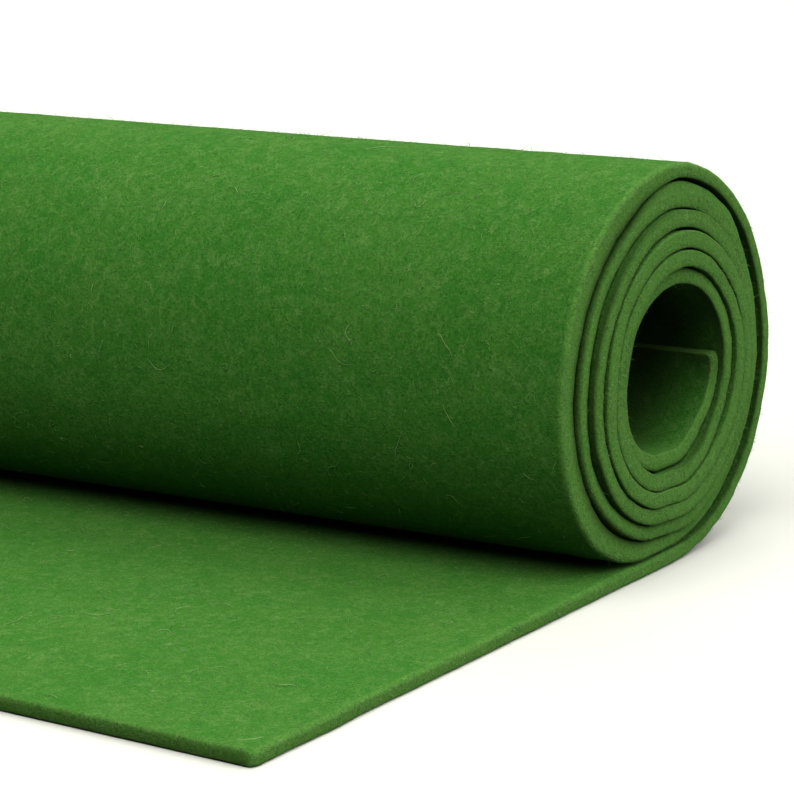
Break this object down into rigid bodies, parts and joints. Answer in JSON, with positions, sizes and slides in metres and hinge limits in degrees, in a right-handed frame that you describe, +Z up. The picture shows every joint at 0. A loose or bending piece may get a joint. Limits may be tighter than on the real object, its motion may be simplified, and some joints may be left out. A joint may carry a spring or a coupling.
{
  "type": "roll of felt",
  "caption": "Roll of thick green wool felt lying on its side, wound in an open spiral around a hollow core, with its loose outer end flat on the surface in front.",
  "frame": {"origin": "middle of the bounding box, on the surface the roll lies on", "axes": "+X along the roll's axis towards its near end, -Y towards the loose end's cut edge, +Z up"},
  "size_m": [0.3026, 0.1898, 0.0834],
  "materials": {
    "wool_felt": "matt pressed wool, fuzzy"
  },
  "bodies": {
    "root": {"felt_strip": "wool_felt"}
  },
  "joints": []
}
